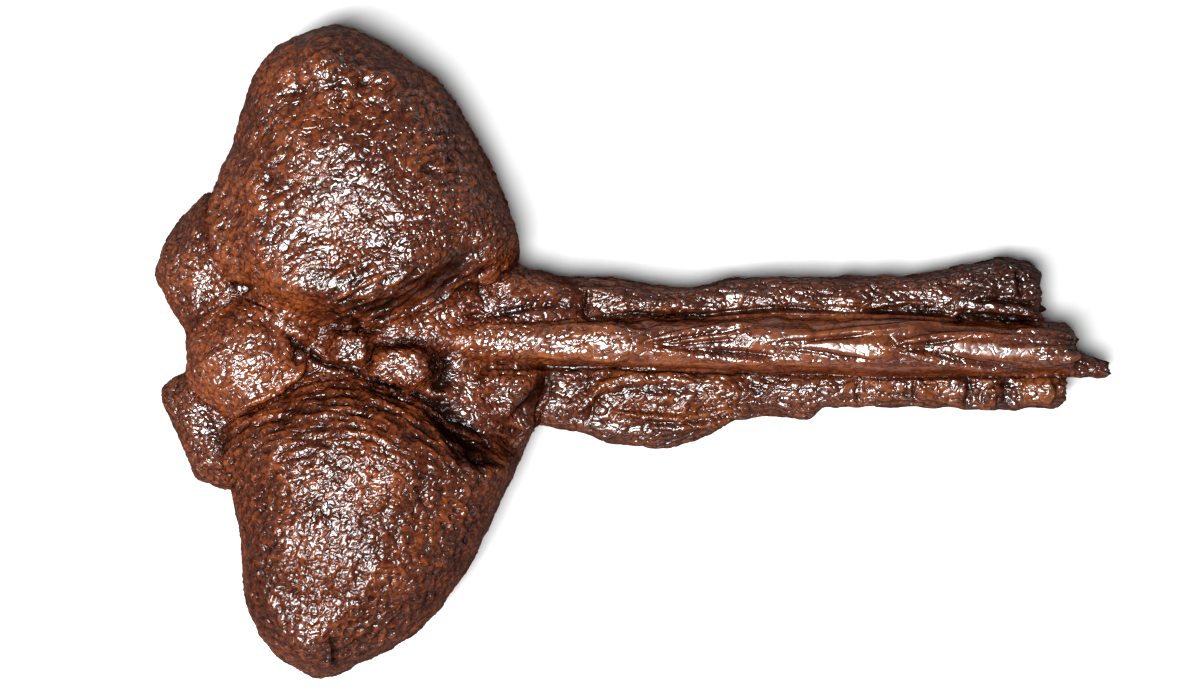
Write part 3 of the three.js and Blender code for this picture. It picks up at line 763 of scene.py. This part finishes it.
def relief(p, way, past, name):
    """How far each point is raised in millimetres, and its marks: painted shade and wear, smoothness, dust.

    Raised adds up swells 60, 26 and 14 mm long, the texture and the drawn lines. Shade and wear is 0 on a
    rubbed ridge and 1 in a gap, where shade is painted dark: 0.45, less a share of the texture, and more in
    grooves and seams. Smooth is 1 where there are no wrinkles. Dusty is 0 on top, and 1 below and in gaps.
    """
    x, y, _ = p.T
    up = way[:, 2]
    top = facing_up(up)
    handle = 0 * x if "osteoderm" in name else rising(x, -110, 60)
    texture = lerp(wrinkles(p, up, name), fibres(p, name), handle)
    ridge, groove, smooth = drawn_lines(p)
    smooth *= top
    seam = bell(past / 3.0)

    raised = 0.7 * ripples(p, 60, 11, 40) * (1 - 0.6 * handle)
    raised += 0.8 * ripples(p, 26, 15, 40) + 0.35 * ripples(p, 14, 16, 40)
    if "tendon" in name or "prong" in name:
        raised += handle * lumps(p * (0.6, 1, 1), 30, 121, 2)
    raised = raised * (1 - 0.8 * smooth) + (ridge - groove) * top
    raised += texture * (1 - 0.5 * seam) * (1 - 0.75 * smooth) - 0.4 * seam
    if "tendon" in name:
        # the bundles are rounded below where they leave the knob
        raised -= 5.0 * ease((-up - 0.2) / 0.4) * bell((x + 87) / 12)
    if name in ("knob_core", "handle_buttress_right"):
        # and the knob swells at its side to meet the right one
        raised += 10.0 * spot(x, y, -97, -57, 20) * ease((0.7 - up) / 0.3)

    # painted shade and wear: darker in grooves, seams and low texture as painted shade, paler on ridges as
    # wear
    shade_and_wear = 0.45 - 0.14 * texture - (0.02 * ridge - 0.08 * groove) * top + 0.12 * seam
    shade_and_wear = lerp(shade_and_wear, 0.4 + 0.09 * groove * top, 0.6 * smooth)
    # darker towards the broken end, on the left side
    shade_and_wear += 0.16 * handle * rising(x, 230 if "left" in name else 320, 60) * rising(y, -20, 10)
    if name == "major_osteoderm_left":
        # painted light and shade: paler on its left side, towards the lamps, and darker in the folds of its
        # lower rim
        shade_and_wear -= 0.07 * (1 - rising(x, -275, 40)) * top
        shade_and_wear += 0.13 * between(y, 34, 62, 14) * rising(x, -285, 30)
    shade_and_wear += {"tail_tip_boss": -0.06, "major_osteoderm_right": 0.03}.get(name, 0) * top

    gap, below, joint = rising(shade_and_wear, 0.62, 0.23), 1 - rising(up, -0.1, 0.5), 0.9 * bell(past / 4.5)
    dusty = np.maximum(np.maximum(gap, below), joint)
    if name == "major_osteoderm_right":
        # rubbed dull in the middle, glossy still at the tip
        dusty = np.maximum(dusty, 0.44 - 0.3 * rising(-y, 205, 35))
    if name == "tendon_bundle_right":
        # and dull in the middle of the wide part
        dusty = np.maximum(dusty, 0.5 * bell((y + 49) / 11) * between(x, -45, 75, 25))
    return raised, np.clip(shade_and_wear, 0, 1), smooth, dusty


# ---- materials ----

MULTIPLY, MULTIPLY_ADD = {"operation": "MULTIPLY"}, {"operation": "MULTIPLY_ADD"}
GRAIN, UNEVENNESS = 3.5, 8.0  # spacings in millimetres
MARKS = ("shade_and_wear", "smooth", "dusty")  # attributes of each point of a surface, from 0 to 1; the first is painted shade and wear


def linear(hex_colour):
    """The linear colour, with alpha 1, of an sRGB hex value."""
    parts = [int(hex_colour[k:k + 2], 16) / 255 for k in (1, 3, 5)]
    return [c / 12.92 if c <= 0.04045 else ((c + 0.055) / 1.055) ** 2.4 for c in parts] + [1.0]


def add(tree, kind, settings=None, **inputs):
    """Adds a node with its own settings. An input is a value, an output, or a node, for its first output."""
    node = tree.nodes.new("ShaderNode" + kind)
    for key, value in (settings or {}).items():
        setattr(node, key, value)
    for key, value in inputs.items():
        socket = node.inputs[int(key[1:]) if key[0] == "i" and key[1:].isdigit() else key.replace("_", " ")]
        if isinstance(value, (bpy.types.Node, bpy.types.NodeSocket)):
            tree.links.new(getattr(value, "outputs", [value])[0], socket)
        else:
            socket.default_value = value
    return node


def varnished_bone(name, dark, body, worn, roughness, crinkle, grainy, gloss=1.75):
    """Permineralised bone under museum varnish: brown stone, painted shade in hollows, orange rubbed on
    ridges.

    The varnish is a clear coat that gathers small sharp glints on every wrinkle. crinkle is the finest
    wrinkles' spacing in millimetres, grainy how strongly pores show, from 0 to 1, and gloss the varnish's
    index of refraction, above the usual 1.5 to match its strong shine.
    """
    material = bpy.data.materials.new(name)
    material.use_nodes = True
    tree = material.node_tree
    tree.nodes.clear()
    place = add(tree, "TexCoord").outputs["Object"]
    # the first mark is painted shade in gaps and wear on ridges
    shade_and_wear, smooth, dusty = (add(tree, "Attribute", {"attribute_name": m}).outputs["Fac"] for m in MARKS)

    # fine wrinkles: flat tops parted by crooked grooves 1 mm wide, where a noise passes through its middle
    ripple = add(tree, "TexNoise", Vector=place, Scale=1000 / crinkle, Detail=0.5, Distortion=0.5)
    offset = add(tree, "Math", {"operation": "SUBTRACT"}, i0=ripple, i1=0.5)
    offset = add(tree, "Math", {"operation": "ABSOLUTE"}, i0=offset)
    plate = add(tree, "MapRange", {"interpolation_type": "SMOOTHSTEP"}, Value=offset, From_Max=0.12)
    # unevenness of the tops
    uneven = add(tree, "TexNoise", Vector=place, Scale=1000 / UNEVENNESS, Detail=1.0)
    height = add(tree, "Math", MULTIPLY, i0=plate, i1=0.7)
    height = add(tree, "Math", MULTIPLY_ADD, i0=uneven, i1=1.2, i2=height)
    # pores between rubbed grains, drawn coarser than real ones, which would be too fine to show
    grain = add(tree, "TexNoise", Vector=place, Scale=1000 / GRAIN, Detail=1.0, Roughness=0.6)
    height = add(tree, "Math", MULTIPLY_ADD, i0=grain, i1=0.55 * grainy, i2=height)
    rough = add(tree, "Math", MULTIPLY_ADD, i0=smooth, i1=-0.8, i2=1.0)
    bump = add(tree, "Bump", Height=height, Distance=MM, Strength=rough)

    # patches of stain, 24 to the metre, and painted shade in the fine grooves
    stain = add(tree, "TexNoise", Vector=place, Scale=24.0, Detail=3.0, Roughness=0.55)
    mixed = add(tree, "Math", MULTIPLY_ADD, i0=stain, i1=0.55, i2=-0.33 - 0.3 * grainy)
    mixed = add(tree, "Math", MULTIPLY_ADD, i0=grain, i1=0.6 * grainy, i2=mixed)
    # painted shade: darker where the fine wrinkles' grooves lie
    mixed = add(tree, "Math", MULTIPLY_ADD, i0=plate, i1=0.14, i2=mixed)
    # the colour follows that mark, less stain and grain: worn on ridges, and painted shade in gaps, near
    # black in the deepest
    shade = add(tree, "Math", {"operation": "SUBTRACT", "use_clamp": True}, i0=shade_and_wear, i1=mixed)
    colour = add(tree, "ValToRGB", Fac=shade)
    stops = colour.color_ramp.elements
    for _ in range(2):
        stops.new(0.5)
    for stop, at, tone in zip(stops, (0.1, 0.42, 0.75, 1.0), (worn, body, dark, "#120603")):
        stop.position, stop.color = at, linear(tone)
    # the varnish lies thin and broken on the sides of the wrinkles, so it shines less at a low angle
    facing = add(tree, "LayerWeight", Blend=0.5).outputs["Facing"]
    varnish = add(tree, "MapRange", Value=facing, From_Min=0.12, From_Max=0.44, To_Min=1.0, To_Max=0.1)
    # and dust has dulled it in the deepest gaps and on the flanks
    clean = add(tree, "Math", MULTIPLY_ADD, i0=dusty, i1=-0.9, i2=1.0)
    varnish = add(tree, "Math", MULTIPLY, i0=varnish, i1=clean)
    shader = add(tree, "BsdfPrincipled", Base_Color=colour, Roughness=roughness, IOR=1.5, Normal=bump,
                 Specular_IOR_Level=0.0, Coat_Weight=varnish, Coat_Roughness=0.24, Coat_IOR=gloss,
                 Coat_Normal=bump)
    add(tree, "OutputMaterial", Surface=shader)
    return material


# each finish's dark colour is the painted shade of its gaps
FINISHES = {
    # dense bone with the finest wrinkles and the most grain: dark brown and glittering
    "armour_bone": varnished_bone("varnished osteoderm bone", dark="#160703", body="#3a1709", worn="#693315",
                                  roughness=0.7, crinkle=7.0, grainy=1.0),
    # the porous core between them: as grainy, and a little paler
    "core_bone": varnished_bone("varnished rough bone", dark="#160703", body="#3d180b", worn="#683416",
                                roughness=0.7, crinkle=7.5, grainy=1.0),
    # rubbed vertebrae under the thickest varnish: the palest brown, with long soft streaks of light
    "vertebra_bone": varnished_bone("varnished smooth bone", dark="#190904", body="#451e0f", worn="#723c1a",
                                    roughness=0.6, crinkle=7.5, grainy=0.25, gloss=2.0),
    # bony tendons: the darkest brown, with a broken shine
    "tendon_bone": varnished_bone("varnished tendon bone", dark="#140703", body="#35150a", worn="#623215",
                                  roughness=0.7, crinkle=7.0, grainy=0.6),
}


# ---- pieces ----

CAP_MARKS = (0.55, 0.0, 0.9)  # an end's mark of painted shade and wear is rather dark; it is not smooth, and it is dusty


def finish_piece(name, points, quads, triangles, marks, slot):
    """Puts a closed surface into Blender with its marks as attributes, and gives it its finish."""
    mesh = bpy.data.meshes.new(name)
    corners = np.concatenate([quads, triangles], axis=None).astype(np.int32)
    sizes = np.repeat(np.array([4, 3], np.int32), [len(quads), len(triangles)])
    mesh.vertices.add(len(points))
    mesh.vertices.foreach_set("co", (points * MM).astype(np.float32).ravel())
    mesh.loops.add(len(corners))
    mesh.loops.foreach_set("vertex_index", corners)
    mesh.polygons.add(len(sizes))
    mesh.polygons.foreach_set("loop_start", (np.cumsum(sizes) - sizes).astype(np.int32))
    mesh.polygons.foreach_set("loop_total", sizes)
    mesh.polygons.foreach_set("use_smooth", np.ones(len(sizes), bool))
    for label, values in zip(MARKS, marks):
        mesh.attributes.new(label, "FLOAT", "POINT").data.foreach_set("value", values.astype(np.float32))
    mesh.update()
    mesh.validate()
    mesh.materials.append(FINISHES[slot])
    piece = bpy.data.objects.new(name + "_surface", mesh)
    bpy.context.scene.collection.objects.link(piece)
    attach(piece, "root")
    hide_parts(name)


def above_floor(points):
    """The points, with those below the floor lifted onto it."""
    return np.maximum(points, (-np.inf, -np.inf, 0))


def dress(name, form_name, points, *faces):
    """A grid's points joined to the form's neighbours and raised along their normals, and their marks."""
    points, past = settle(form_name, points)
    way = normals(points, *faces)
    raised, *marks = relief(points, way, past, name)
    return above_floor(points + raised[:, None] * way), marks


def dress_bulge(name, side, skirt, slot):
    """A Bulge's surface: a grid of side by side points over its upper face, and skirt rings below it."""
    points, quads, bottom = bulge_grid(FORMS[name], side, skirt)
    points, marks = dress(name, name, points, quads, bottom)
    finish_piece(name, points, quads, bottom, marks, slot)


def ragged_end(points, stations, seed):
    """A Bar's rings, rounded off by 0.14 over the last 9 mm, and broken off unevenly over the last 14 mm."""
    end = stations[-1]
    near = np.clip(1 - (end - stations) / 9, 0, 1)[:, None, None]
    middle = points.mean(axis=1, keepdims=True)
    points[..., 1:] = lerp(middle, points, 1 - 0.14 * near**2)[..., 1:]
    points = above_floor(points)
    ragged = 2.2 * lumps(points.reshape(-1, 3) * (0, 1, 1), 18, seed).reshape(points.shape[:2])
    points[..., 0] += ragged * ease(1 - np.abs(points[..., 0] - end) / 14)
    return points


def end_cap(ring, broken):
    """Rings that shrink to the middle of an end: one in a joint, or eleven with lumps on a broken end."""
    shares = np.linspace(1, 0, 13)[1:-1] if broken else np.array([0.5])
    cap = lerp(ring.mean(axis=0), ring, shares[:, None, None])
    if broken:
        rough = 2.4 * lumps(cap.reshape(-1, 3) * (0, 1, 1), 14, 141).reshape(cap.shape[:2])
        cap[..., 0] += rough * (1 - shares[:, None] ** 4)
    return cap


def dress_bar(name, form_name, start, end, spacing, around, slot, bend=None, broken=True):
    """A Bar's surface between two stations. Its far end may be broken; other ends are hidden in joints."""
    stations = np.linspace(start, end, round((end - start) / spacing))
    points, quads = bar_grid(FORMS[form_name], stations, around, bend)
    points, marks = dress(name, form_name, points, quads)
    points = points.reshape(-1, around, 3)
    if broken:
        points = ragged_end(points, stations, 131 + len(name))
    first, last = end_cap(points[0], False)[::-1], end_cap(points[-1], broken)
    body = np.concatenate([first, points, last])
    poles = body[[0, -1]].mean(axis=1)
    pads = len(first) * around, len(last) * around + 2
    marks = [np.pad(mark, pads, constant_values=plain) for mark, plain in zip(marks, CAP_MARKS)]
    ring, pole = np.arange(around), np.full(around, len(body) * around)
    beside, far = np.roll(ring, -1), (len(body) - 1) * around
    fans = np.concatenate([np.stack([beside, ring, pole], axis=-1),
                           np.stack([ring + far, beside + far, pole + 1], axis=-1)])
    points = np.concatenate([body.reshape(-1, 3), poles])
    # Blender cuts a face in two from its first corner, and here that is the second one of lattice
    quads = np.roll(lattice(len(body), around, wrap=True), -1, axis=1)
    finish_piece(name, points, quads, fans, marks, slot)


# points along a side of the upper grid, and rings below it
BULGES = {
    "major_osteoderm_left": (288, 12),
    "major_osteoderm_right": (288, 12),
    "terminal_osteoderm_left": (130, 30),
    "terminal_osteoderm_right": (120, 30),
    "midline_osteoderm_rear": (70, 20),
    "midline_osteoderm_front": (80, 20),
    "tail_tip_boss": (130, 20),
    "knob_core": (220, 24),
    "handle_buttress_left": (130, 20),
    "handle_buttress_right": (110, 20),
}
for bulge, (side, skirt) in BULGES.items():
    dress_bulge(bulge, side, skirt, "armour_bone" if "osteoderm" in bulge else "core_bone")
for number, ((start, _), (end, _)) in enumerate(zip(JOINTS, JOINTS[1:]), 1):
    dress_bar(f"vertebra_{number}", "spine", start, end, 0.9, 190, "vertebra_bone",
              bend=arrowhead, broken=end == HANDLE_END)
for bundle, end in (("tendon_bundle_left", LEFT_BUNDLE_END), ("tendon_bundle_right", RIGHT_BUNDLE_END)):
    dress_bar(bundle, bundle, BUNDLE_START, end, 1.0, 170, "tendon_bone")
dress_bar("broken_prong", "broken_prong", PRONG_START, PRONG_END, 0.8, 90, "tendon_bone")

# ---- floor, light and camera ----


def plain_floor(size):
    """A flat floor of white paper, size metres each way from the middle."""
    mesh = bpy.data.meshes.new("floor")
    corners = [(-size, -size, 0), (size, -size, 0), (size, size, 0), (-size, size, 0)]
    mesh.from_pydata(corners, [], [(0, 1, 2, 3)])
    material = bpy.data.materials.new("white paper")
    material.use_nodes = True
    paper = material.node_tree.nodes["Principled BSDF"].inputs
    paper["Base Color"].default_value = linear("#cacaca")
    paper["Roughness"].default_value = 0.9
    paper["Specular IOR Level"].default_value = 0.2
    mesh.materials.append(material)
    floor = bpy.data.objects.new("floor", mesh)
    bpy.context.scene.collection.objects.link(floor)


def soft_box(name, way, far, size, watts):
    """A round white soft box, far metres off along a direction, facing the club."""
    way = np.array(way, float) / np.linalg.norm(way)
    lamp = bpy.data.lights.new(name, "AREA")
    lamp.shape, lamp.size, lamp.energy = "DISK", size, watts
    holder = bpy.data.objects.new(name, lamp)
    holder.location = way * far
    holder.rotation_euler = Vector(-way).to_track_quat("-Z", "Y").to_euler()
    bpy.context.scene.collection.objects.link(holder)


plain_floor(6.0)
soft_box("overhead light", (-0.065, -0.11, 1.0), 3.0, 0.85, 160)
soft_box("side light", (-0.52, -0.36, 1.0), 3.0, 1.1, 140)

world = bpy.data.worlds.new("studio")
world.use_nodes = True
glow = world.node_tree.nodes["Background"].inputs
glow["Color"].default_value = linear("#ffffff")
glow["Strength"].default_value = 0.06
bpy.context.scene.world = world
bpy.context.scene.view_settings.view_transform = "Standard"

# the camera looks straight down from 2.9 m, as a new camera does
camera = bpy.data.cameras.new("camera")
camera.lens, camera.sensor_width = 100, 36
eye = bpy.data.objects.new("camera", camera)
eye.location = (-0.0285, 0.006, 2.925)
bpy.context.scene.collection.objects.link(eye)
bpy.context.scene.camera = eye
